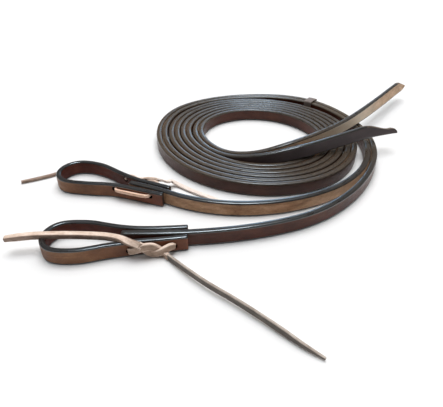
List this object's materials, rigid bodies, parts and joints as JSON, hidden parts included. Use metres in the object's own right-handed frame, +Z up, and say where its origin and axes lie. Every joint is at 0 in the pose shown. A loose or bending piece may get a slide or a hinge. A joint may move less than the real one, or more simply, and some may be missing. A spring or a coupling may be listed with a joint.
{
  "type": "leather reins",
  "caption": "A pair of split leather reins with laced water-loop bit ends, laid flesh to flesh and wound on edge in a flat coil with free slanted tails.",
  "frame": {"origin": "on the floor under the middle of the object's box, measured without the lace tails", "axes": "+Z up, the strap edges rest on the XY plane; +X towards the tails' tips; -Y towards the nearer bit end"},
  "size_m": [0.4189, 0.3991, 0.0308],
  "materials": {
    "rein_leather": "satin",
    "loop_leather": "satin",
    "lace_leather": "matte",
    "keeper_leather": "satin"
  },
  "bodies": {
    "coil": {"near_rein_coil": "rein_leather", "near_rein_tail": "rein_leather", "far_rein_coil": "rein_leather", "far_rein_tail": "rein_leather"},
    "near_bit_end": {"near_rein_bit_end": "rein_leather", "near_bit_loop": "loop_leather", "near_lace_tie": "lace_leather", "near_lace_tail_left": "lace_leather", "near_lace_tail_right": "lace_leather"},
    "far_bit_end": {"far_rein_bit_end": "rein_leather", "far_bit_loop": "loop_leather", "far_lace_tie": "lace_leather", "far_lace_tail_left": "lace_leather", "far_lace_tail_right": "lace_leather"},
    "keeper": {"coil_keeper": "keeper_leather"}
  },
  "joints": [
    {"name": "near_bit_end_flex", "type": "hinge", "parent": "coil", "child": "near_bit_end", "pos_m": [0.01028, -0.12026, 0.00635], "axis": [0, 0, 1], "range_deg": [-6, 18]},
    {"name": "far_bit_end_flex", "type": "hinge", "parent": "coil", "child": "far_bit_end", "pos_m": [-0.00363, -0.09769, 0.00635], "axis": [0, 0, 1], "range_deg": [-5, 5]},
    {"name": "keeper_slide_round", "type": "hinge", "parent": "coil", "child": "keeper", "pos_m": [-0.00286, 0.02641, 0.0083], "axis": [0, 0, 1], "range_deg": [-5, 5]}
  ]
}
